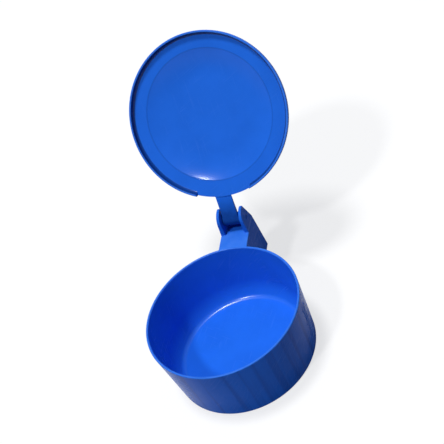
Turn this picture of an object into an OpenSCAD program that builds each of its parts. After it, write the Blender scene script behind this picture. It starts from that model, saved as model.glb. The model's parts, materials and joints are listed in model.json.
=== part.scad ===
// Round moulded cup with a dished lid on a clevis hinge at its back.
// The lid stands open, leaning back on its stop. Sizes are in millimetres.
// The origin is the centre of the cup's base, +Z is up and the hinge lies towards +Y.

/* [Cup] */
// Outer radius at the rim
rim_r = 50; // [48:0.5:60]
// Outer radius at the base
base_r = 46.5; // [42:0.5:49]
// Height of the rim above the base
cup_h = 43.8; // [36:0.2:60]
// Wall thickness
wall = 1.5; // [1.2:0.1:2.4]
// Floor thickness
floor_t = 2.4; // [1.4:0.1:4]
// Radius of the fillet between floor and wall, inside
floor_fillet = 4.4; // [2:0.2:7]
// Radius of the edge round the base
base_edge = 1; // [0.4:0.1:2]

/* [Bracket] */
// Width over the two ears at the ledge
bracket_w = 19; // [17:0.5:26]
// Thickness of each side plate and ear at the ledge
ear_t = 2.9; // [2:0.1:3.4]
// Inward lean of the ears' outer faces, in degrees
ear_draft = 4; // [1:0.5:5]
// Radius of the ears' round heads
ear_r = 7; // [6:0.2:9]
// Height of the heads' centre above the pin
ear_lift = 1.3; // [0:0.1:2.5]
// Forward lean of the ears' back edges, in degrees
ear_back_lean = 16; // [10:1:20]
// Depth of the ledge from the rim to the ears
ledge_d = 10.4; // [9:0.2:11]
// Thickness of the ledge and of the pocket floor behind it
ledge_t = 2; // [1.4:0.1:3]
// Fall of the pocket floor between the ears
pocket_drop = 3; // [1:0.2:6]
// Depth from the rim to the back of the bracket, at the ledge
bracket_d = 25.2; // [24.6:0.2:28]
// Outward lean of the bracket's back below the ledge, in degrees
back_draft = 3; // [0:0.5:5]
// Thickness of the bracket's back wall
back_t = 2; // [1.4:0.1:2.2]
// Height of the bracket's lower edge above the base
bracket_z = 13; // [6:0.5:24]

/* [Hinge] */
// Distance of the pin behind the rim
hinge_back = 18.3; // [18:0.1:19]
// Height of the pin above the rim
hinge_up = 6.4; // [6:0.1:8]
// Radius of the pin
pin_r = 1.5; // [1:0.1:2]
// Chamfer at the pin's ends
pin_chamfer = 0.3; // [0.1:0.1:0.5]
// Distance of the pin's ends inside the ears' outer faces
pin_sink = 0.3; // [0.1:0.1:0.8]
// Radius of the lid's knuckle
knuckle_r = 4; // [3.4:0.1:4.4]
// Drop of the stop wall's top below the pin
stop_drop = 3.2; // [2.6:0.1:3.8]
// Thickness of the stop heel on the knuckle
heel_t = 2.4; // [1.6:0.1:3]
// Gap under the heel when the lid leans on its stop
stop_gap = 0.1; // [0.05:0.05:0.3]
// Play of the pin in the ears, on the radius
pin_fit = 0.02; // [0.01:0.01:0.05]
// Play of the knuckle on the pin, on the radius
pin_play = 0.06; // [0.03:0.01:0.1]
// Gap between knuckle and ear on each side
side_gap = 0.4; // [0.3:0.1:0.8]

/* [Lid] */
// Angle between the closed lid and the open one
open_angle = 127; // [110:1:130]
// Thickness of the lid
lid_t = 1.5; // [1.2:0.1:2]
// Gap between the rim and the lid's skirt, on the radius
lid_clear = 1.4; // [1.3:0.1:2.4]
// Gap between the rim and the closed lid
seat_gap = 0.3; // [0.2:0.1:0.6]
// Depth of the skirt below the lid's inner face
skirt_d = 3.3; // [2.4:0.1:3.6]
// Radius of the lid's outer edge in section
lid_edge = 3.2; // [2.2:0.1:3.2]
// Radius of the crease round the raised middle
crease_r = 42.3; // [36:0.1:45]
// Radius of the flat at the top of the raised middle
crown_r = 24; // [12:1:30]
// Slope of the raised middle at its crease, in degrees
crown_slope = 16; // [6:1:20]
// Width of the arm
arm_w = 10.6; // [8:0.2:11.6]
// Thickness of the arm at the knuckle
arm_t = 2.6; // [2:0.1:3.2]
// Sideways lean of the arm, where it meets the lid
arm_shift = 1.8; // [0:0.1:2]
// Width of the gap in the skirt at the arm
notch_w = 36; // [28:1:44]

/* [Hidden] */
$fn = 96;
eps = 0.05;
cup_blue = [0.07, 0.27, 0.78];

wall_lean = atan((rim_r - base_r) / cup_h);
hinge_y = rim_r + hinge_back;
hinge_z = cup_h + hinge_up;
head_z = hinge_z + ear_lift;
ledge_y = rim_r + ledge_d;
back_y = rim_r + bracket_d;
gap_w = bracket_w - 2 * ear_t;
knuckle_w = gap_w - 2 * side_gap;
stop_z = hinge_z - stop_drop;
lid_z = cup_h + seat_gap;
lid_r = rim_r + lid_clear + lid_t;
// Half width of the bracket where the pin ends
pin_half = bracket_w / 2 - hinge_up * tan(ear_draft) - pin_sink;
// A length that clears the whole bracket
clear_l = bracket_d + ear_r + cup_h;

// Outer radius of the cup at height z
function cup_r(z) = base_r + z * tan(wall_lean);
// Back of the bracket at height z, which leans out below the ledge and in above it
function back_at(z) = back_y + (cup_h - z) * tan(z < cup_h ? back_draft : ear_back_lean);
// Points of an arc from angle a to angle b
function arc(centre, r, a, b, steps = 8) =
    [for (i = [0:steps]) centre + r * [cos(a + (b - a) * i / steps), sin(a + (b - a) * i / steps)]];

// Outline extruded along X, with its own x and y along Y and Z
module across(width) {
    rotate([90, 0, 90])
        linear_extrude(width, center = true)
            children();
}

// Solid cup, with a round edge at its base and at the outside of its lip
module cup_outside() {
    edge_x = base_r - base_edge * (1 - sin(wall_lean)) / cos(wall_lean);
    lip = wall / 2;
    lip_x = cup_r(cup_h - lip) - lip;
    rotate_extrude()
        polygon(concat(
            [[0, 0]],
            arc([edge_x, base_edge], base_edge, -90, -wall_lean, 4),
            arc([lip_x, cup_h - lip], lip, 0, 90, 4),
            [[0, cup_h]]));
}

// Space inside the cup, whose mouth follows the round inner edge of the lip
module cup_inside() {
    wall_x = cup_r(floor_t) - wall;
    fillet_x = wall_x + floor_fillet * (tan(wall_lean) - 1 / cos(wall_lean));
    lip = wall / 2;
    lip_x = cup_r(cup_h - lip) - lip;
    rotate_extrude()
        polygon(concat(
            [[0, floor_t]],
            arc([fillet_x, floor_t + floor_fillet], floor_fillet, -90, -wall_lean, 8),
            arc([lip_x, cup_h - lip], lip, 180, 90, 4),
            [[lip_x, cup_h + eps], [0, cup_h + eps]]));
}

// Side outline of one plate and the ear that rises from it
module plate_outline() {
    difference() {
        union() {
            translate([hinge_y, head_z])
                circle(ear_r);
            polygon([
                [0, bracket_z], [back_at(bracket_z), bracket_z], [back_y, cup_h],
                [hinge_y + ear_r, head_z], [hinge_y - ear_r, head_z], [ledge_y, cup_h], [0, cup_h]]);
        }
        polygon([
            [back_y, cup_h], [back_at(cup_h + clear_l), cup_h + clear_l],
            [back_y + clear_l, cup_h + clear_l], [back_y + clear_l, cup_h]]);
    }
}

// Plate and ear on the right, with the ear's outer face leaning in
module plate() {
    difference() {
        translate([(gap_w + ear_t) / 2, 0, 0])
            across(ear_t)
                plate_outline();
        translate([bracket_w / 2, 0, cup_h])
            rotate([0, -ear_draft, 0])
                cube(2 * clear_l);
    }
}

// Ledge, sloping pocket floor and back wall between the plates, open below
module web() {
    back_in = back_t / cos(back_draft);
    fall_y = back_at(cup_h) - back_t;
    fall_z = cup_h - pocket_drop;
    across(gap_w + 2 * eps)
        polygon([
            [0, cup_h], [ledge_y, cup_h], [fall_y, fall_z],
            [back_at(stop_z) - back_t, stop_z], [back_at(stop_z), stop_z],
            [back_y, cup_h], [back_at(bracket_z), bracket_z], [back_at(bracket_z) - back_in, bracket_z],
            [back_at(fall_z - ledge_t) - back_in, fall_z - ledge_t], [ledge_y, cup_h - ledge_t],
            [0, cup_h - ledge_t]]);
}

module pin_bore(r) {
    translate([0, hinge_y, hinge_z])
        rotate([0, 90, 0])
            cylinder(h = 2 * bracket_w, r = r, center = true);
}

module cup() {
    color(cup_blue)
        difference() {
            union() {
                cup_outside();
                intersection() {
                    union() {
                        web();
                        for (side = [0, 1])
                            mirror([side, 0, 0])
                                plate();
                    }
                    // Keeps the bracket behind the middle of the cup's back wall
                    translate([-bracket_w, base_r / 2, 0])
                        cube([2 * bracket_w, clear_l + rim_r, clear_l]);
                }
            }
            cup_inside();
            pin_bore(pin_r + pin_fit);
        }
}

// Half section of the lid, from its crown through the crease to the lip of its skirt
module lid_shell() {
    inner_r = (crease_r - crown_r) / sin(crown_slope);
    outer_r = inner_r + lid_t;
    outer_slope = acos((inner_r * cos(crown_slope) + lid_t) / outer_r);
    crown_c = [crown_r, lid_z - inner_r * cos(crown_slope)];
    crown_z = crown_c[1] + inner_r;
    edge_c = [lid_r - lid_edge, lid_z + lid_t - lid_edge];
    rotate_extrude()
        polygon(concat(
            [[0, crown_z]],
            arc(crown_c, inner_r, 90, 90 - crown_slope),
            arc(edge_c, lid_edge - lid_t, 90, 0, 5),
            [[lid_r - lid_t, lid_z - skirt_d], [lid_r, lid_z - skirt_d]],
            arc(edge_c, lid_edge, 0, 90, 6),
            arc(crown_c, outer_r, 90 - outer_slope, 90),
            [[0, crown_z + lid_t]]));
}

// Gap in the skirt that lets it pass the ledge
module skirt_notch() {
    translate([-notch_w / 2, 0, lid_z - skirt_d - eps])
        cube([notch_w, lid_r + eps, skirt_d + eps]);
}

// Strip from the lid's back edge to the knuckle, flush with the knuckle's lower side
module arm() {
    root = [lid_r - lid_edge, lid_z];
    reach = [hinge_y, hinge_z] - root;
    rise = atan2(reach[1], reach[0]) - asin(knuckle_r / norm(reach));
    aside = [-sin(rise), cos(rise)];
    touch = [hinge_y, hinge_z] - knuckle_r * aside;
    intersection() {
        across(2 * bracket_w)
            polygon([
                root - [arm_t, 0], root, touch, touch + arm_t * aside,
                root + [0, lid_t], root + [-arm_t, lid_t]]);
        // Plan of the strip, which leans aside towards the lid
        translate([0, 0, lid_z - eps])
            linear_extrude(hinge_up + knuckle_r)
                polygon([
                    [-arm_w / 2, touch[0]], [-arm_w / 2 - arm_shift, root[0]],
                    [-arm_w / 2 - arm_shift, root[0] - arm_t], [arm_w / 2 - arm_shift, root[0] - arm_t],
                    [arm_w / 2 - arm_shift, root[0]], [arm_w / 2, touch[0]]]);
    }
}

// Closed lid turned back about the pin by the given angle
module swung(angle) {
    translate([0, hinge_y, hinge_z])
        rotate([-angle, 0, 0])
            translate([0, -hinge_y, -hinge_z])
                children();
}

// Heel behind the knuckle that comes down on the stop wall as the lid opens
module heel() {
    heel_end = back_at(stop_z) - side_gap;
    translate([-arm_w / 2, hinge_y, stop_z + stop_gap])
        cube([arm_w, heel_end - hinge_y, heel_t]);
}

module lid() {
    color(cup_blue)
        difference() {
            union() {
                swung(open_angle) {
                    difference() {
                        lid_shell();
                        skirt_notch();
                    }
                    arm();
                }
                translate([0, hinge_y, hinge_z])
                    rotate([0, 90, 0])
                        cylinder(h = knuckle_w, r = knuckle_r, center = true);
                heel();
            }
            pin_bore(pin_r + pin_play);
        }
}

module hinge_pin() {
    tip = pin_r - pin_chamfer;
    color(cup_blue)
        translate([0, hinge_y, hinge_z])
            rotate([0, 90, 0])
                rotate_extrude()
                    polygon([
                        [0, -pin_half], [tip, -pin_half], [pin_r, pin_chamfer - pin_half],
                        [pin_r, pin_half - pin_chamfer], [tip, pin_half], [0, pin_half]]);
}

cup();
lid();
hinge_pin();
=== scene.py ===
import json
import math

import bmesh
import bpy
from mathutils import Matrix, Vector


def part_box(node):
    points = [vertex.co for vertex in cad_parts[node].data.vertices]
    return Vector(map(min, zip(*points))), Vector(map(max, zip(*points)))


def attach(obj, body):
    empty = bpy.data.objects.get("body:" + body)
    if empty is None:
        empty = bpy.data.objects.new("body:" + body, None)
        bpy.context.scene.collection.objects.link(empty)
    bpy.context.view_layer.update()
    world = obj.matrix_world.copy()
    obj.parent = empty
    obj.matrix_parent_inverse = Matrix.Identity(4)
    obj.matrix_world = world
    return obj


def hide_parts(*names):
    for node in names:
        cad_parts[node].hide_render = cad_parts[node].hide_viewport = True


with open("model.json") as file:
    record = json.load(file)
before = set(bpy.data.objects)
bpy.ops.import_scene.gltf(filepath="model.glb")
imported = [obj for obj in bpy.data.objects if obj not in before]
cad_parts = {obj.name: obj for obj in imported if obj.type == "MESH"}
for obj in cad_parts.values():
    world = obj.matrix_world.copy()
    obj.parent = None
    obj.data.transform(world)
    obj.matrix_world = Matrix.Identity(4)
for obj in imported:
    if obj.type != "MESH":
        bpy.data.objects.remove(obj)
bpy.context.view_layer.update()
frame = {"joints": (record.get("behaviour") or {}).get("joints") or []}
mm = 0.001
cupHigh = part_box("cup")[1] / mm
lidHinge = frame["joints"][0]
hingeY, hingeZ = (value / mm for value in lidHinge["pos_m"][1:])
openTurn = math.radians(lidHinge["range_deg"][1])
print("frame loaded, hinge at", round(hingeY, 2), round(hingeZ, 2))

# meshes are worked in millimetres, and wires are drawn in the YZ plane

meshRules = {
    "mergeWithin": 0.0005,
    "ringWithin": 0.02,
    "sharpAngle": 30,  # edges sharper than this are rounded
    "smoothAngle": 35,  # and edges sharper than this stay crisp
}


def drawWire(bm, start, moves):
    tip = bm.verts.new((0, *start))
    for move in moves:
        if move[0] == "line":
            tip = bmesh.ops.extrude_vert_indiv(bm, verts=[tip])["verts"][0]
            tip.co = (0, *move[1])
        else:  # an arc: its centre, its turn in degrees, its steps
            turn = bmesh.ops.spin(bm, geom=[tip], cent=(0, *move[1]), axis=(1, 0, 0),
                                  angle=math.radians(move[2]), steps=move[3])
            tip = [part for part in turn["geom_last"] if isinstance(part, bmesh.types.BMVert)][0]
    return tip


def cleanMesh(bm):
    bmesh.ops.remove_doubles(bm, verts=bm.verts[:], dist=meshRules["mergeWithin"])
    bmesh.ops.recalc_face_normals(bm, faces=bm.faces[:])
    return bm


def spunSolid(start, moves, steps):
    bm = bmesh.new()
    drawWire(bm, start, moves)
    bmesh.ops.spin(bm, geom=bm.verts[:] + bm.edges[:], cent=(0, 0, 0), axis=(0, 0, 1),
                   angle=math.tau, steps=steps, use_merge=True)
    return cleanMesh(bm)


def sideSolid(start, moves, width):
    bm = bmesh.new()
    tip = drawWire(bm, start, moves)
    bm.verts.ensure_lookup_table()
    bm.edges.new((tip, bm.verts[0]))
    outline = bmesh.ops.contextual_create(bm, geom=bm.edges[:])["faces"]
    grown = bmesh.ops.extrude_face_region(bm, geom=outline)["geom"]
    farSide = [part for part in grown if isinstance(part, bmesh.types.BMVert)]
    bmesh.ops.translate(bm, vec=(width, 0, 0), verts=farSide)
    bmesh.ops.translate(bm, vec=(-width / 2, 0, 0), verts=bm.verts[:])
    return cleanMesh(bm)


def blockSolid(low, high):
    bm = bmesh.new()
    bmesh.ops.create_cube(bm, size=1)
    bmesh.ops.scale(bm, vec=Vector(high) - Vector(low), verts=bm.verts[:])
    bmesh.ops.translate(bm, vec=(Vector(high) + Vector(low)) / 2, verts=bm.verts[:])
    return bm


def rodSolid(radius, length, sides):
    # lies along the hinge's axis
    bm = bmesh.new()
    bmesh.ops.create_cone(bm, cap_ends=True, segments=sides, radius1=radius, radius2=radius, depth=length)
    bmesh.ops.rotate(bm, cent=(0, 0, 0), matrix=Matrix.Rotation(math.pi / 2, 3, "Y"), verts=bm.verts[:])
    bmesh.ops.translate(bm, vec=(0, hingeY, hingeZ), verts=bm.verts[:])
    return bm


def roundEdges(bm, edges, width, segments=2):
    bmesh.ops.bevel(bm, geom=edges, offset=width, offset_type="OFFSET", segments=segments, profile=0.5,
                    affect="EDGES", clamp_overlap=True, material=-1)


def ringEdges(bm, radius, height):
    within = meshRules["ringWithin"]

    def onRing(vert):
        return abs(vert.co.xy.length - radius) < within and abs(vert.co.z - height) < within

    return [edge for edge in bm.edges if all(onRing(vert) for vert in edge.verts)]


def sharpEdges(bm):
    limit = math.radians(meshRules["sharpAngle"])
    return [edge for edge in bm.edges if len(edge.link_faces) == 2 and edge.calc_face_angle() > limit]


def workObject(name, bm):
    mesh = bpy.data.meshes.new(name)
    bm.to_mesh(mesh)
    bm.free()
    piece = bpy.data.objects.new(name, mesh)
    bpy.context.scene.collection.objects.link(piece)
    return piece


def combine(piece, tool, operation):
    # joins the tool to the piece, or cuts it away, and leaves one plain mesh
    step = piece.modifiers.new("join", "BOOLEAN")
    step.operation = operation
    step.solver = "EXACT"
    step.object = tool
    graph = bpy.context.evaluated_depsgraph_get()
    result = bpy.data.meshes.new_from_object(piece.evaluated_get(graph))
    piece.modifiers.clear()
    piece.data = result
    bpy.data.objects.remove(tool)


def reworked(piece):
    bm = bmesh.new()
    bm.from_mesh(piece.data)
    return cleanMesh(bm)


def markFaces(piece, name, amount):
    marks = piece.data.attributes.new(name, "FLOAT", "FACE")
    for face, mark in zip(piece.data.polygons, marks.data):
        mark.value = amount(face)


def finishPiece(piece, material, body, nodes):
    piece.data.transform(Matrix.Scale(mm, 4))
    piece.data.materials.clear()
    piece.data.materials.append(material)
    piece.data.shade_smooth()
    piece.data.set_sharp_from_angle(angle=math.radians(meshRules["smoothAngle"]))
    evenNormals = piece.modifiers.new("evenNormals", "WEIGHTED_NORMAL")
    evenNormals.keep_sharp = True
    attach(piece, body)
    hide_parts(*nodes)
    print(piece.name, "has", len(piece.data.polygons), "faces")


# camera

photoView = {
    "aim": (0.0, 53.4, 64.0),
    "azimuth": 29.33,
    "elevation": 42.26,
    "distance": 748.3,
    "roll": 28.95,
    "focal": 1200,  # in pixels of the image
    "imageSide": 444,
    "sensorWidth": 36,
    "clipStart": 0.01,
}


def makeCamera(view):
    data = bpy.data.cameras.new("photoCamera")
    camera = bpy.data.objects.new("photoCamera", data)
    bpy.context.scene.collection.objects.link(camera)
    side, rise = math.radians(view["azimuth"]), math.radians(view["elevation"])
    back = Vector((math.sin(side) * math.cos(rise), -math.cos(side) * math.cos(rise), math.sin(rise)))
    roll = Matrix.Rotation(-math.radians(view["roll"]), 3, "Z")
    turn = (-back).to_track_quat("-Z", "Y").to_matrix() @ roll
    place = (Vector(view["aim"]) + back * view["distance"]) * mm
    camera.matrix_world = Matrix.Translation(place) @ turn.to_4x4()
    data.sensor_width = view["sensorWidth"]
    data.lens = data.sensor_width * view["focal"] / view["imageSide"]
    data.clip_start = view["clipStart"]
    bpy.context.scene.camera = camera


makeCamera(photoView)
bpy.context.scene.view_settings.view_transform = "Standard"
print("camera placed")

# node helpers


def addNode(tree, kind, **settings):
    node = tree.nodes.new(kind)
    for name, value in settings.items():
        if hasattr(node, name):
            setattr(node, name, value)
        else:
            node.inputs[name].default_value = value
    return node


def feed(tree, socket, value):
    # links another node's output, or sets a plain value
    if isinstance(value, bpy.types.NodeSocket):
        tree.links.new(value, socket)
    else:
        socket.default_value = value


def calculate(tree, operation, *values):
    node = addNode(tree, "ShaderNodeMath", operation=operation)
    for socket, value in zip(node.inputs, values):
        feed(tree, socket, value)
    return node.outputs["Value"]


def calculateVector(tree, operation, *values):
    node = addNode(tree, "ShaderNodeVectorMath", operation=operation)
    for socket, value in zip(node.inputs, values):
        feed(tree, socket, value)
    return node.outputs["Value" if operation == "LENGTH" else "Vector"]


def remap(tree, value, low, high, **settings):
    # the range from low to high becomes 0 to 1
    node = addNode(tree, "ShaderNodeMapRange", **settings)
    for name, given in (("Value", value), ("From Min", low), ("From Max", high)):
        feed(tree, node.inputs[name], given)
    return node.outputs["Result"]


def noise(tree, vector, scale, **settings):
    node = addNode(tree, "ShaderNodeTexNoise", **settings)
    feed(tree, node.inputs["Vector"], vector)
    feed(tree, node.inputs["Scale"], scale)
    return node.outputs["Fac"]


def splitHeight(tree, vector):
    node = addNode(tree, "ShaderNodeSeparateXYZ")
    feed(tree, node.inputs["Vector"], vector)
    return node.outputs["Z"]


def mixColours(tree, share, first, second):
    node = addNode(tree, "ShaderNodeMix", data_type="RGBA")
    for index, value in ((0, share), (6, first), (7, second)):  # the colour sockets are 6 and 7
        feed(tree, node.inputs[index], value)
    return node.outputs[2]


def mixShaders(tree, share, first, second):
    node = addNode(tree, "ShaderNodeMixShader")
    feed(tree, node.inputs[0], share)
    tree.links.new(first.outputs[0], node.inputs[1])
    tree.links.new(second.outputs[0], node.inputs[2])
    return node


def newGroup(name, inputs, outputs):
    group = bpy.data.node_groups.new(name, "ShaderNodeTree")
    for label, kind, value in inputs:
        socket = group.interface.new_socket(label, in_out="INPUT", socket_type=kind)
        if value is not None:
            socket.default_value = value
    for label, kind in outputs:
        group.interface.new_socket(label, in_out="OUTPUT", socket_type=kind)
    return group, group.nodes.new("NodeGroupInput"), group.nodes.new("NodeGroupOutput")


# stage: a white floor, a dim ceiling, a key lamp overhead and a weaker one in front

stageLook = {
    "floorSize": 30.0,  # in metres
    "floorShadow": 0.3,  # how far the floor's own shading shows
    "floorSeen": (0.97, 0.97, 0.97, 1),
    "floorBounce": (0.17, 0.17, 0.17, 1),
    "backdrop": (1, 1, 1, 1),
    "ceiling": (0.18, 0.205, 0.25, 1),
    "fade": (0.2, 0.45),  # where the backdrop turns into the ceiling
    "lamps": {  # direction, strength and angle across in degrees
        "keyLamp": ((-0.1, 0.05, 0.99), 1.9, 12),
        "frontLamp": ((-0.22, -0.48, 0.85), 1.1, 6),
    },
}


def makeFloor(look):
    bm = bmesh.new()
    bmesh.ops.create_grid(bm, x_segments=1, y_segments=1, size=look["floorSize"] / 2)
    floor = workObject("studioFloor", bm)
    material = bpy.data.materials.new("studioFloor")
    material.use_nodes = True
    tree = material.node_tree
    tree.nodes.clear()
    path = addNode(tree, "ShaderNodeLightPath")
    white = addNode(tree, "ShaderNodeEmission", Strength=1.0)
    lit = addNode(tree, "ShaderNodeBsdfDiffuse", Color=look["floorSeen"])
    bounce = addNode(tree, "ShaderNodeBsdfDiffuse", Color=look["floorBounce"])
    shown = mixShaders(tree, look["floorShadow"], white, lit)
    # reflections show the white floor with its full shadow, and other light meets a dimmer one
    mirrored = mixShaders(tree, path.outputs["Is Glossy Ray"], bounce, lit)
    seen = calculate(tree, "MAXIMUM", path.outputs["Is Camera Ray"], path.outputs["Is Transmission Ray"])
    pick = mixShaders(tree, seen, mirrored, shown)
    out = addNode(tree, "ShaderNodeOutputMaterial")
    tree.links.new(pick.outputs[0], out.inputs["Surface"])
    floor.data.materials.append(material)


def makeWorld(look):
    # the camera and reflections see a white backdrop that fades to a dim ceiling
    world = bpy.data.worlds.new("studio")
    bpy.context.scene.world = world
    world.use_nodes = True
    tree = world.node_tree
    tree.nodes.clear()
    coords = addNode(tree, "ShaderNodeTexCoord")
    height = splitHeight(tree, coords.outputs["Generated"])
    fade = remap(tree, height, *look["fade"], interpolation_type="SMOOTHSTEP")
    backdrop = mixColours(tree, fade, look["backdrop"], look["ceiling"])
    path = addNode(tree, "ShaderNodeLightPath")
    seen = calculate(tree, "MAXIMUM", path.outputs["Is Camera Ray"], path.outputs["Is Glossy Ray"])
    seen = calculate(tree, "MAXIMUM", seen, path.outputs["Is Transmission Ray"])
    ground = addNode(tree, "ShaderNodeBackground")
    tree.links.new(mixColours(tree, seen, look["ceiling"], backdrop), ground.inputs["Color"])
    out = addNode(tree, "ShaderNodeOutputWorld")
    tree.links.new(ground.outputs[0], out.inputs["Surface"])


def makeLamp(name, towards, strength, angle):
    data = bpy.data.lights.new(name, "SUN")
    data.energy = strength
    data.angle = math.radians(angle)
    lamp = bpy.data.objects.new(name, data)
    bpy.context.scene.collection.objects.link(lamp)
    lamp.rotation_mode = "QUATERNION"
    lamp.rotation_quaternion = Vector(towards).to_track_quat("Z", "Y")


makeFloor(stageLook)
makeWorld(stageLook)
for lampName, lamp in stageLook["lamps"].items():
    makeLamp(lampName, *lamp)
print("stage lit")

# plastic: shared effects are node groups, in metres

effectLook = {  # a range is the part of the noise that becomes 0 to 1
    "cloudRange": (0.35, 0.65),
    "scuffTurns": (27, -52),
    "scuffRange": (0.62, 0.72),
    "scuffPatchScale": 45.0,
    "scuffPatchRange": (0.45, 0.7),
    "waveScale": 90.0,
    "rubPatchScale": 160.0,
    "hingeShadePatchScale": 260.0,
    "hingeShadePatches": 0.5,  # the uneven share, added to an even one
    "hingeShadeEven": 0.75,
    "streakRange": (0.48, 0.68),
}


def makeCloudyTone(look):
    group, given, out = newGroup("cloudyTone", [
        ("Vector", "NodeSocketVector", None), ("Scale", "NodeSocketFloat", 40.0),
        ("Base", "NodeSocketColor", None), ("Deep", "NodeSocketColor", None)],
        [("Colour", "NodeSocketColor")])
    cloud = noise(group, given.outputs["Vector"], given.outputs["Scale"], Detail=4.0, Roughness=0.55)
    share = remap(group, cloud, *look["cloudRange"])
    tone = mixColours(group, share, given.outputs["Base"], given.outputs["Deep"])
    group.links.new(tone, out.inputs["Colour"])
    return group


def makeFineScuffs(look):
    # two crossing sets of hairlines, broken up by a cloud
    group, given, out = newGroup("fineScuffs", [
        ("Vector", "NodeSocketVector", None), ("Along", "NodeSocketFloat", 60.0),
        ("Across", "NodeSocketFloat", 1500.0)], [("Mask", "NodeSocketFloat")])
    stretch = addNode(group, "ShaderNodeCombineXYZ")
    for axis, label in (("X", "Along"), ("Y", "Across"), ("Z", "Along")):
        group.links.new(given.outputs[label], stretch.inputs[axis])
    lines = []
    for degrees in look["scuffTurns"]:
        turn = math.radians(degrees)
        turned = addNode(group, "ShaderNodeVectorRotate", rotation_type="EULER_XYZ",
                         Rotation=(turn, turn / 2, turn))
        group.links.new(given.outputs["Vector"], turned.inputs["Vector"])
        drawn = calculateVector(group, "MULTIPLY", turned.outputs[0], stretch.outputs[0])
        hair = noise(group, drawn, 1.0, Detail=2.0, Roughness=0.5)
        lines.append(remap(group, hair, *look["scuffRange"]))
    cloud = noise(group, given.outputs["Vector"], look["scuffPatchScale"], Detail=2.0)
    patch = remap(group, cloud, *look["scuffPatchRange"])
    mask = calculate(group, "MULTIPLY", calculate(group, "MAXIMUM", *lines), patch)
    group.links.new(mask, out.inputs["Mask"])
    return group


def makeMouldGrain(look):
    # fine grain over a slow waviness
    group, given, out = newGroup("mouldGrain", [
        ("Vector", "NodeSocketVector", None), ("Scale", "NodeSocketFloat", 1600.0),
        ("Waviness", "NodeSocketFloat", 0.5)], [("Height", "NodeSocketFloat")])
    grain = noise(group, given.outputs["Vector"], given.outputs["Scale"], Detail=2.0, Roughness=0.6)
    wave = noise(group, given.outputs["Vector"], look["waveScale"], Detail=1.0)
    slow = calculate(group, "MULTIPLY", wave, given.outputs["Waviness"])
    group.links.new(calculate(group, "ADD", grain, slow), out.inputs["Height"])
    return group


def makeLipRub(look):
    # paler plastic near a lip that lies at one height, stronger in patches
    group, given, out = newGroup("lipRub", [
        ("Vector", "NodeSocketVector", None), ("Lip", "NodeSocketFloat", 0.0),
        ("Reach", "NodeSocketFloat", 0.0012), ("Amount", "NodeSocketFloat", 0.5)],
        [("Mask", "NodeSocketFloat")])
    height = splitHeight(group, given.outputs["Vector"])
    offset = calculate(group, "ABSOLUTE", calculate(group, "SUBTRACT", height, given.outputs["Lip"]))
    near = calculate(group, "SUBTRACT", 1, calculate(group, "DIVIDE", offset, given.outputs["Reach"]))
    patch = noise(group, given.outputs["Vector"], look["rubPatchScale"], Detail=3.0)
    strength = calculate(group, "MULTIPLY", patch, given.outputs["Amount"])
    mask = calculate(group, "MULTIPLY", calculate(group, "MAXIMUM", near, 0), strength)
    group.links.new(mask, out.inputs["Mask"])
    return group


def makePaintedHingeShade(look):
    # painted shade: darker near the pin, fading with the distance from its axis, standing in for the
    # shade between the ears
    group, given, out = newGroup("paintedHingeShade", [
        ("Vector", "NodeSocketVector", None), ("Pin", "NodeSocketVector", None),
        ("Reach", "NodeSocketFloat", 0.019), ("Amount", "NodeSocketFloat", 0.6)],
        [("Mask", "NodeSocketFloat")])
    fromPin = calculateVector(group, "SUBTRACT", given.outputs["Vector"], given.outputs["Pin"])
    distance = calculateVector(group, "LENGTH", calculateVector(group, "MULTIPLY", fromPin, (0, 1, 1)))
    far = remap(group, distance, 0, given.outputs["Reach"], interpolation_type="SMOOTHSTEP")
    patch = noise(group, given.outputs["Vector"], look["hingeShadePatchScale"], Detail=3.0)
    uneven = calculate(group, "MULTIPLY_ADD", patch, look["hingeShadePatches"], look["hingeShadeEven"])
    nearPin = calculate(group, "MULTIPLY", calculate(group, "SUBTRACT", 1, far), uneven)
    mask = calculate(group, "MULTIPLY", nearPin, given.outputs["Amount"])
    group.links.new(mask, out.inputs["Mask"])
    return group


def makePaintedReflectionStreaks(look):
    # painted reflection: soft streaks that run up and down a wall round the Z axis, mixed in darker to
    # stand in for reflected surroundings
    group, given, out = newGroup("paintedReflectionStreaks", [
        ("Vector", "NodeSocketVector", None), ("Around", "NodeSocketFloat", 9.0),
        ("Up", "NodeSocketFloat", 8.0)], [("Mask", "NodeSocketFloat")])
    level = calculateVector(group, "MULTIPLY", given.outputs["Vector"], (1, 1, 0))
    heading = calculateVector(group, "NORMALIZE", level)
    around = calculateVector(group, "MULTIPLY", heading, given.outputs["Around"])
    upright = calculateVector(group, "MULTIPLY", given.outputs["Vector"], (0, 0, 1))
    rise = calculateVector(group, "MULTIPLY", upright, given.outputs["Up"])
    place = calculateVector(group, "ADD", around, rise)
    reflectionStreak = noise(group, place, 1.0, Detail=2.0, Roughness=0.5)
    mask = remap(group, reflectionStreak, *look["streakRange"], interpolation_type="SMOOTHSTEP")
    group.links.new(mask, out.inputs["Mask"])
    return group


cloudyTone, fineScuffs = makeCloudyTone(effectLook), makeFineScuffs(effectLook)
paintedReflectionStreaks, mouldGrain = makePaintedReflectionStreaks(effectLook), makeMouldGrain(effectLook)
lipRub, paintedHingeShade = makeLipRub(effectLook), makePaintedHingeShade(effectLook)

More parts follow.
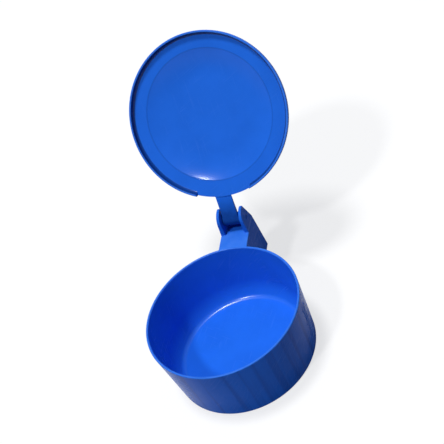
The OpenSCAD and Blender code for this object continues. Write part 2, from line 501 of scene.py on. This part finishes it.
plasticLook = {
    "colour": (0.015, 0.15, 0.76, 1),
    "deepColour": (0.013, 0.136, 0.7, 1),
    # paler colour of the worn lip and of the painted sheen on the ticks
    "rubAndSheenColour": (0.10, 0.28, 0.86, 1),
    "scuffColour": (0.05, 0.19, 0.78, 1),
    "scuffAmount": 0.35,
    # painted shade colour, for the darkening near the pin and in the lid's skirt corner and crease
    "paintedShadeColour": (0.003, 0.03, 0.17, 1),
    # darker colour of the painted reflection streaks on the outer wall
    "reflectionStreakColour": (0.006, 0.075, 0.45, 1),
    "roughness": 0.26,
    "scuffRoughness": 0.2,
    "specular": 0.04,
    "grainStrength": 0.06,
    "grainDepth": 0.0002,
}
pieceFinish = {  # the rubbed lip's height in mm, painted shade near the pin, and a turn that lays the lip level
    "cupPlastic": {"lip": 43.8, "hingeShading": 0.1, "coatRoughness": 0.24, "closing": 0},
    "lidPlastic": {"lip": 40.8, "hingeShading": 0.95, "coatRoughness": 0.14, "closing": openTurn},
    "pinPlastic": {"lip": 0, "hingeShading": 0.4, "coatRoughness": 0.14, "closing": 0},
}


def placeGroup(tree, group, coords, **values):
    node = addNode(tree, "ShaderNodeGroup", node_tree=group)
    for name, value in values.items():
        node.inputs[name].default_value = value
    tree.links.new(coords, node.inputs["Vector"])
    return node.outputs[0]


def faceMark(tree, name):
    return addNode(tree, "ShaderNodeAttribute", attribute_name=name).outputs["Fac"]


def makePlastic(name, look, finish):
    material = bpy.data.materials.new(name)
    material.use_nodes = True
    tree = material.node_tree
    shader = tree.nodes["Principled BSDF"]
    texture = addNode(tree, "ShaderNodeTexCoord")
    # the lid's pattern turns about the hinge, as if the lid were closed
    closing = finish["closing"]
    pivot = Vector((0, hingeY, hingeZ)) * mm
    shift = pivot - Matrix.Rotation(closing, 3, "X") @ pivot
    mapping = addNode(tree, "ShaderNodeMapping", vector_type="POINT", Location=shift,
                      Rotation=(closing, 0, 0))
    tree.links.new(texture.outputs["Object"], mapping.inputs["Vector"])
    coords = mapping.outputs[0]

    colour = placeGroup(tree, cloudyTone, coords, Base=look["colour"], Deep=look["deepColour"])
    scuffs = placeGroup(tree, fineScuffs, coords)
    wearAndSheen = placeGroup(tree, lipRub, coords, Lip=finish["lip"] * mm)
    # painted reflection streaks on the cup's outer wall
    reflectionStreaks = placeGroup(tree, paintedReflectionStreaks, coords)
    # painted shade near the pin, strongest on the lid's arm
    hingeShadeMask = placeGroup(tree, paintedHingeShade, coords, Pin=pivot, Amount=finish["hingeShading"])
    layers = [
        (calculate(tree, "MULTIPLY", scuffs, look["scuffAmount"]), look["scuffColour"]),
        # paler near the worn lip, and painted sheen on the ticks
        (calculate(tree, "MAXIMUM", wearAndSheen, faceMark(tree, "tickSheen")), look["rubAndSheenColour"]),
        (calculate(tree, "MULTIPLY", reflectionStreaks, faceMark(tree, "reflectionStreaked")), look["reflectionStreakColour"]),
        (calculate(tree, "MAXIMUM", hingeShadeMask, faceMark(tree, "paintedShadeMark")), look["paintedShadeColour"]),
    ]
    for mask, layerColour in layers:
        colour = mixColours(tree, mask, colour, layerColour)
    tree.links.new(colour, shader.inputs["Base Color"])

    worn = calculate(tree, "MAXIMUM", scuffs, wearAndSheen)
    rough = calculate(tree, "MULTIPLY_ADD", worn, look["scuffRoughness"], look["roughness"])
    tree.links.new(rough, shader.inputs["Roughness"])
    bump = addNode(tree, "ShaderNodeBump", Strength=look["grainStrength"], Distance=look["grainDepth"])
    tree.links.new(placeGroup(tree, mouldGrain, coords), bump.inputs["Height"])
    tree.links.new(bump.outputs[0], shader.inputs["Normal"])
    tree.links.new(faceMark(tree, "polished"), shader.inputs["Coat Weight"])
    shader.inputs["Coat Roughness"].default_value = finish["coatRoughness"]
    shader.inputs["Specular IOR Level"].default_value = look["specular"]
    return material


cupPlastic, lidPlastic, pinPlastic = (
    makePlastic(name, plasticLook, finish) for name, finish in pieceFinish.items())
print("plastic mixed")

# cup with its hinge bracket, one moulding

cupSizes = {
    "rimRadius": cupHigh.x,
    "baseRadius": 46.5,
    "height": 43.8,
    "wall": 1.5,
    "floor": 2.4,
    "floorFlat": 39.3,
    "coveRadius": 3.9,  # tight at the floor, then a wide sweep into the wall
    "coveTurn": 58.0,
    "coveSteps": 12,
    "baseEdge": 1.0,
    "lip": 0.7,
    "lipSteps": 5,
    "turns": 160,
    "outerShare": 0.6,  # of the wall's thickness, left without gloss
    "floorGloss": 0.06,
    "bendGloss": 1.0,
    "wallGloss": 0.2,
    "reflectionStreaks": 0.5,
}
bracketSizes = {
    "width": 19.0,
    "earThickness": 2.9,
    "earDraft": 4.0,
    "earRadius": 7.0,
    "earLift": 1.3,
    "earBackLean": 16.0,
    "ledgeDepth": 10.4,
    "ledgeThickness": 2.0,
    "pocketDrop": 3.0,
    "depth": 25.2,
    "backDraft": 3.0,
    "backThickness": 2.0,
    "foot": 13.0,
    "stopDrop": 3.2,
    "edge": 0.35,
    "headSteps": 16,
    "boreRadius": 1.52,
    "boreSides": 48,
}


def cupRadiusAt(z):
    cup = cupSizes
    return cup["baseRadius"] + (cup["rimRadius"] - cup["baseRadius"]) * z / cup["height"]


def bracketBackAt(z):
    rim, back = cupSizes["height"], cupSizes["rimRadius"] + bracketSizes["depth"]
    lean = bracketSizes["backDraft"] if z < rim else bracketSizes["earBackLean"]
    return back + (rim - z) * math.tan(math.radians(lean))


def makeBracket():
    size = bracketSizes
    rim = cupSizes["height"]
    gap = size["width"] - 2 * size["earThickness"]
    start = cupSizes["baseRadius"] / 2
    ledgeEnd = cupSizes["rimRadius"] + size["ledgeDepth"]
    headZ = hingeZ + size["earLift"]
    # where the ears' sloping back meets their round heads
    lean = math.radians(size["earBackLean"])
    reach = math.cos(lean) * (bracketBackAt(rim) - hingeY) + math.sin(lean) * (rim - headZ)
    head = size["earRadius"]
    headTurn = lean + math.acos(reach / head)
    headEnd = (hingeY + head * math.cos(headTurn), headZ + head * math.sin(headTurn))
    foot = size["foot"]
    block = sideSolid((start, foot), [
        ("line", (bracketBackAt(foot), foot)), ("line", (bracketBackAt(rim), rim)), ("line", headEnd),
        ("arc", (hingeY, headZ), 180 - math.degrees(headTurn), size["headSteps"]),
        ("line", (ledgeEnd, rim)), ("line", (start, rim))], size["width"])
    for vert in block.verts:  # the ears' outer faces lean in
        rise = max(0, vert.co.z - rim)
        vert.co.x -= math.copysign(rise * math.tan(math.radians(size["earDraft"])), vert.co.x)
    bracket = workObject("bracket", block)

    stopZ = hingeZ - size["stopDrop"]
    pocketEnd = bracketBackAt(rim) - size["backThickness"]
    pocketZ = rim - size["pocketDrop"]
    clear = size["depth"]  # how far the cutters reach past the walls
    earGap = sideSolid((ledgeEnd, rim), [
        ("line", (pocketEnd, pocketZ)), ("line", (bracketBackAt(stopZ) - size["backThickness"], stopZ)),
        ("line", (hingeY + clear, stopZ)), ("line", (hingeY + clear, stopZ + clear)),
        ("line", (start, stopZ + clear)), ("line", (start, stopZ))], gap)
    combine(bracket, workObject("earGap", earGap), "DIFFERENCE")

    ledge = size["ledgeThickness"]
    roof = pocketZ - ledge
    inset = size["backThickness"] / math.cos(math.radians(size["backDraft"]))
    hollow = sideSolid((start - clear, 0), [
        ("line", (bracketBackAt(0) - inset, 0)), ("line", (bracketBackAt(roof) - inset, roof)),
        ("line", (ledgeEnd, rim - ledge)), ("line", (start - clear, rim - ledge))], gap)
    combine(bracket, workObject("hollow", hollow), "DIFFERENCE")
    bm = reworked(bracket)
    roundEdges(bm, sharpEdges(bm), size["edge"])
    bm.to_mesh(bracket.data)
    bm.free()
    return bracket


# plain raised ticks up the right side of the wall

tickSizes = {
    "count": 11,
    "low": 9.0,
    "step": 2.5,
    "azimuth": 3.0,
    "longEvery": 5,
    "longWidth": 7.6,
    "shortWidth": 5.0,
    "height": 1.1,
    "rise": 0.25,
    "sink": 0.5,
    "edge": 0.1,
    "cuts": 5,
    "reach": 8.0,  # in degrees to each side
    "paintedSheen": 0.8,
}


def makeTicks():
    size = tickSizes
    column = bmesh.new()
    for index in range(size["count"]):
        z = size["low"] + index * size["step"]
        width = size["shortWidth"] if index % size["longEvery"] else size["longWidth"]
        bar = bmesh.ops.create_cube(column, size=1)["verts"]
        bmesh.ops.scale(column, vec=(size["rise"] + size["sink"], width, size["height"]), verts=bar)
        middle = cupRadiusAt(z) + (size["rise"] - size["sink"]) / 2
        bmesh.ops.translate(column, vec=(middle, 0, z), verts=bar)
    lengthwise = [edge for edge in column.edges if edge.verts[0].co.y != edge.verts[1].co.y]
    bmesh.ops.subdivide_edges(column, edges=lengthwise, cuts=size["cuts"], use_grid_fill=True)
    for vert in column.verts:  # follows the round wall
        vert.co.x -= vert.co.y ** 2 / (2 * cupRadiusAt(vert.co.z))
    roundEdges(column, sharpEdges(column), size["edge"])
    turn = Matrix.Rotation(math.radians(size["azimuth"]), 3, "Z")
    bmesh.ops.rotate(column, cent=(0, 0, 0), matrix=turn, verts=column.verts[:])
    return workObject("ticks", column)


def makeCup():
    size = cupSizes
    rim, radius, base = size["height"], size["rimRadius"], size["baseRadius"]
    outline = [("line", (base, 0)), ("line", (radius, rim)), ("line", (0, rim))]
    body = spunSolid((0, 0), outline, size["turns"])
    roundEdges(body, ringEdges(body, base, 0), size["baseEdge"], size["lipSteps"])
    roundEdges(body, ringEdges(body, radius, rim), size["lip"], size["lipSteps"])
    cup = workObject("cupBody", body)
    combine(cup, makeBracket(), "UNION")

    lean = math.atan((radius - base) / rim)
    mouth = rim + size["wall"]
    # the cove leaves the flat floor on a tight arc and meets the wall on a wide one
    turn, wallTurn = math.radians(size["coveTurn"]), math.pi / 2 - lean
    cove = size["coveRadius"]
    tight = (size["floorFlat"], size["floor"] + cove)
    turnEnd = (tight[0] + cove * math.sin(turn), tight[1] - cove * math.cos(turn))
    acrossRun, upRun = math.sin(wallTurn) - math.sin(turn), math.cos(turn) - math.cos(wallTurn)
    wallHere = cupRadiusAt(turnEnd[1]) - size["wall"]
    sweep = (wallHere - turnEnd[0]) / (acrossRun - upRun * math.tan(lean))
    wide = (turnEnd[0] - sweep * math.sin(turn), turnEnd[1] + sweep * math.cos(turn))
    cavity = spunSolid((0, size["floor"]), [
        ("line", (size["floorFlat"], size["floor"])), ("arc", tight, size["coveTurn"], size["coveSteps"]),
        ("arc", wide, math.degrees(wallTurn - turn), size["coveSteps"]),
        ("line", (cupRadiusAt(mouth) - size["wall"], mouth)), ("line", (0, mouth))], size["turns"])
    combine(cup, workObject("cavity", cavity), "DIFFERENCE")
    bore = rodSolid(bracketSizes["boreRadius"], 2 * bracketSizes["width"], bracketSizes["boreSides"])
    combine(cup, workObject("bore", bore), "DIFFERENCE")
    bm = reworked(cup)
    roundEdges(bm, ringEdges(bm, cupRadiusAt(rim) - size["wall"], rim), size["lip"], size["lipSteps"])
    bm.to_mesh(cup.data)
    bm.free()
    combine(cup, makeTicks(), "UNION")

    def gloss(face):  # highest in the tight bend at the floor, lowest on the flat floor
        across, z = face.center.xy.length, face.center.z
        if z < size["floor"] / 2 or across > cupRadiusAt(z) - size["outerShare"] * size["wall"]:
            return 0.0
        if across < size["floorFlat"]:
            return size["floorGloss"]
        return size["bendGloss"] if across < turnEnd[0] else size["wallGloss"]

    def reflectionStreak(face):  # painted reflection streaks, on the outside of the wall
        facingOut, nearWall = 0.9, 1.0
        facing = face.center.xy.normalized().dot(face.normal.xy)
        offset = abs(face.center.xy.length - cupRadiusAt(face.center.z))
        return size["reflectionStreaks"] if facing > facingOut and offset < nearWall else 0.0

    def wearAndSheen(face):  # painted sheen: the ticks are painted paler, standing in for the lighter sheen on them
        proud = face.center.xy.length - cupRadiusAt(face.center.z)
        azimuth = math.degrees(math.atan2(face.center.y, face.center.x))
        onTicks = abs(azimuth - tickSizes["azimuth"]) < tickSizes["reach"]
        return tickSizes["paintedSheen"] if onTicks and proud > tickSizes["rise"] / 4 else 0.0

    markFaces(cup, "polished", gloss)
    markFaces(cup, "reflectionStreaked", reflectionStreak)
    markFaces(cup, "tickSheen", wearAndSheen)
    finishPiece(cup, cupPlastic, "cup_body", ["cup"])


makeCup()

# lid with its arm, knuckle and heel, one moulding: the shell and arm are drawn closed and then opened

lidSizes = {
    "thickness": 1.5,
    "clearance": 1.4,
    "seatGap": 0.3,
    "skirt": 3.3,
    "edgeRadius": 3.2,
    "creaseRadius": 42.3,
    "crownRadius": 24.0,
    "crownSlope": 16.0,
    "crownSteps": 20,
    "lip": 0.4,
    "lipSteps": 3,
    "underSteps": 8,
    "topSteps": 10,
    "armWidth": 10.6,
    "armThickness": 2.6,
    "armShift": 1.8,
    "rootSink": 0.1,  # how far the arm's root lies inside the lid's wall
    "notchWidth": 36.0,
    "notchGap": 0.02,  # keeps the notch clear of the flat ring
    "knuckleRadius": 4.0,
    "knuckleGap": 0.4,
    "heelThickness": 2.4,
    "stopGap": 0.1,
    "edge": 0.35,
    "boreRadius": 1.56,
    "boreSides": 48,
    "knuckleSides": 64,
    "turns": 160,
    "gloss": 0.28,
    # painted shade in the skirt corner and along the crease
    "cornerShade": 0.85,
    "creaseShade": 0.22,
    "creaseWidth": 1.0,
}


def makeLidShell(size, under, radius):
    thick = size["thickness"]
    slope = math.radians(size["crownSlope"])
    crease, crown = size["creaseRadius"], size["crownRadius"]
    bend = (crease - crown) / math.sin(slope)
    bendZ = under - bend * math.cos(slope)
    outerSlope = math.acos((under + thick - bendZ) / (bend + thick))
    edge = size["edgeRadius"]
    edgeCentre = (radius - edge, under + thick - edge)
    lipZ = under - size["skirt"]
    shell = spunSolid((0, bendZ + bend), [
        ("line", (crown, bendZ + bend)), ("arc", (crown, bendZ), -size["crownSlope"], size["crownSteps"]),
        ("line", (edgeCentre[0], under)), ("arc", edgeCentre, -90, size["underSteps"]),
        ("line", (radius - thick, lipZ)), ("line", (radius, lipZ)), ("line", (radius, edgeCentre[1])),
        ("arc", edgeCentre, 90, size["topSteps"]),
        ("line", (crown + (bend + thick) * math.sin(outerSlope), under + thick)),
        ("arc", (crown, bendZ), math.degrees(outerSlope), size["crownSteps"]),
        ("line", (0, bendZ + bend + thick))],
        size["turns"])
    lips = ringEdges(shell, radius - thick, lipZ) + ringEdges(shell, radius, lipZ)
    roundEdges(shell, lips, size["lip"], size["lipSteps"])
    return workObject("lidBody", shell)


def makeArm(size, under, radius):
    # a strip from inside the lid's edge to the knuckle, flush with the knuckle's lower side
    thick = size["thickness"]
    root = Vector((radius - size["edgeRadius"], under + size["rootSink"]))
    pin = Vector((hingeY, hingeZ))
    reach = pin - root
    rise = math.atan2(reach.y, reach.x) - math.asin(size["knuckleRadius"] / reach.length)
    aside = Vector((-math.sin(rise), math.cos(rise)))
    touch = pin - size["knuckleRadius"] * aside
    foot = root.x - size["armThickness"]
    arm = sideSolid((foot, under + thick / 2), [
        ("line", root), ("line", touch), ("line", touch + size["armThickness"] * aside),
        ("line", (root.x, under + thick))], size["armWidth"])
    for vert in arm.verts:  # leans aside towards the lid
        vert.co.x -= size["armShift"] * min(1, (touch.x - vert.co.y) / (touch.x - root.x))
    roundEdges(arm, sharpEdges(arm), size["edge"])
    return workObject("arm", arm)


def makeLid():
    size = lidSizes
    under = cupSizes["height"] + size["seatGap"]
    radius = cupSizes["rimRadius"] + size["clearance"] + size["thickness"]
    lid = makeLidShell(size, under, radius)
    half = size["notchWidth"] / 2
    notch = blockSolid((-half, 0, under - 2 * size["skirt"]),
                       (half, radius + size["thickness"], under - size["notchGap"]))
    combine(lid, workObject("notch", notch), "DIFFERENCE")
    combine(lid, makeArm(size, under, radius), "UNION")
    pivot = Matrix.Translation((0, hingeY, hingeZ))
    lid.data.transform(pivot @ Matrix.Rotation(-openTurn, 4, "X") @ pivot.inverted())

    gap = bracketSizes["width"] - 2 * bracketSizes["earThickness"]
    knuckle = rodSolid(size["knuckleRadius"], gap - 2 * size["knuckleGap"], size["knuckleSides"])
    roundEdges(knuckle, sharpEdges(knuckle), size["edge"])
    combine(lid, workObject("knuckle", knuckle), "UNION")
    stopZ = hingeZ - bracketSizes["stopDrop"]
    heelEnd = bracketBackAt(stopZ) - size["knuckleGap"]
    heelLow = stopZ + size["stopGap"]
    heel = blockSolid((-size["armWidth"] / 2, hingeY, heelLow),
                      (size["armWidth"] / 2, heelEnd, heelLow + size["heelThickness"]))
    roundEdges(heel, heel.edges[:], size["edge"])
    combine(lid, workObject("heel", heel), "UNION")
    bore = rodSolid(size["boreRadius"], 2 * gap, size["boreSides"])
    combine(lid, workObject("bore", bore), "DIFFERENCE")
    closing = Matrix.Rotation(openTurn, 4, "X")
    leastFacing = 0.1

    def closedFace(face):  # its distance from the cup's axis, and how far it faces in and down
        centre = pivot @ closing @ pivot.inverted() @ face.center
        facing = closing @ face.normal
        return centre.xy.length, -facing.xy.dot(centre.xy.normalized()), -facing.z

    def gloss(face):  # on the underside
        across, _, down = closedFace(face)
        return size["gloss"] if down > leastFacing and across < radius - size["thickness"] else 0.0

    def cornerAndCreaseShade(face):  # painted shade: darker in the corner inside the skirt and along the crease
        across, inward, down = closedFace(face)
        if down > leastFacing and 0 < size["creaseRadius"] - across < size["creaseWidth"]:
            return size["creaseShade"]
        inCorner = inward > leastFacing and radius - size["edgeRadius"] < across < radius
        return size["cornerShade"] * min(1, 2 * inward) if inCorner else 0.0

    markFaces(lid, "polished", gloss)
    markFaces(lid, "paintedShadeMark", cornerAndCreaseShade)
    finishPiece(lid, lidPlastic, "lid_body", ["lid"])


makeLid()

# hinge pin

pinSizes = {"radius": 1.5, "chamfer": 0.3, "sides": 48}


def makePin():
    pinLow, pinHigh = (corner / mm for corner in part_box("hinge_pin"))
    pin = rodSolid(pinSizes["radius"], pinHigh.x - pinLow.x, pinSizes["sides"])
    roundEdges(pin, sharpEdges(pin), pinSizes["chamfer"])
    piece = workObject("hingePin", pin)
    finishPiece(piece, pinPlastic, "cup_body", ["hinge_pin"])


makePin()
